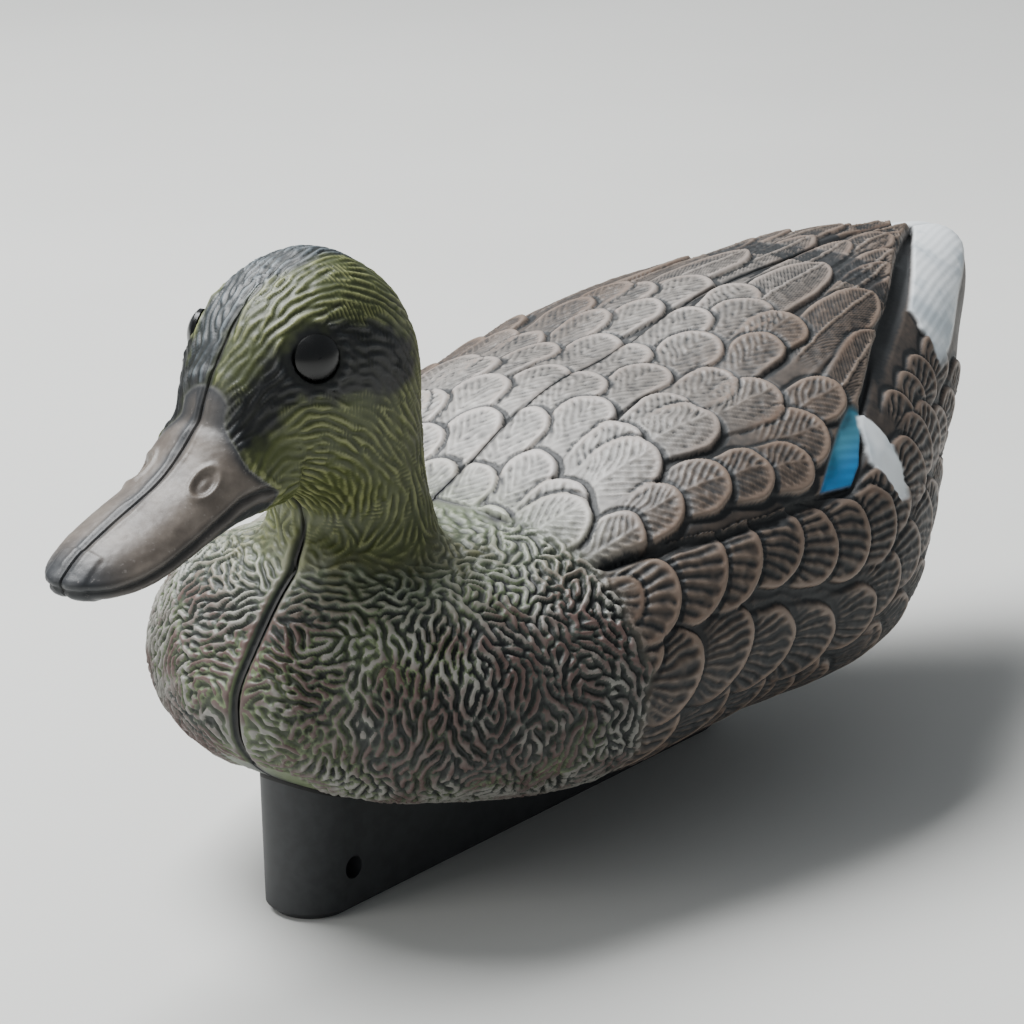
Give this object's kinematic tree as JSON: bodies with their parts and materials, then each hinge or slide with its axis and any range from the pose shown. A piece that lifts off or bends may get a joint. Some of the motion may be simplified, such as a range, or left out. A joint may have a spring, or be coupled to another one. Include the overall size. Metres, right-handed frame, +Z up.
{
  "type": "floating duck decoy",
  "caption": "Hollow moulded duck decoy in two half shells, with raised feather relief, set-in eyes, a ballasted keel and a drain plug.",
  "frame": {"origin": "on the floor under the middle of the decoy's outer box", "axes": "+X towards the bill tip, +Y to the duck's left, +Z up"},
  "size_m": [0.364, 0.1609, 0.1715],
  "materials": {
    "painted_shell": "satin painted",
    "weld_plastic": "dull dark plastic",
    "eye_plastic": "gloss",
    "keel_plastic": "unpainted, matte",
    "seal_rubber": "matte",
    "ballast_iron": "as cast",
    "screw_steel": "brushed",
    "insert_brass": "machined",
    "plug_rubber": "matte"
  },
  "bodies": {
    "decoy": {"left_shell": "painted_shell", "right_shell": "painted_shell", "seam_weld": "weld_plastic", "left_eye": "eye_plastic", "right_eye": "eye_plastic", "keel": "keel_plastic", "sealing_strip": "seal_rubber", "ballast_bar": "ballast_iron", "keel_screws": "screw_steel", "threaded_inserts": "insert_brass"},
    "plug": {"drain_plug": "plug_rubber", "drain_seal": "seal_rubber"}
  },
  "joints": [
    {"name": "drain_pull", "type": "slide", "parent": "decoy", "child": "plug", "axis": [0, 0, -1], "range_m": [0, 0.012]}
  ]
}
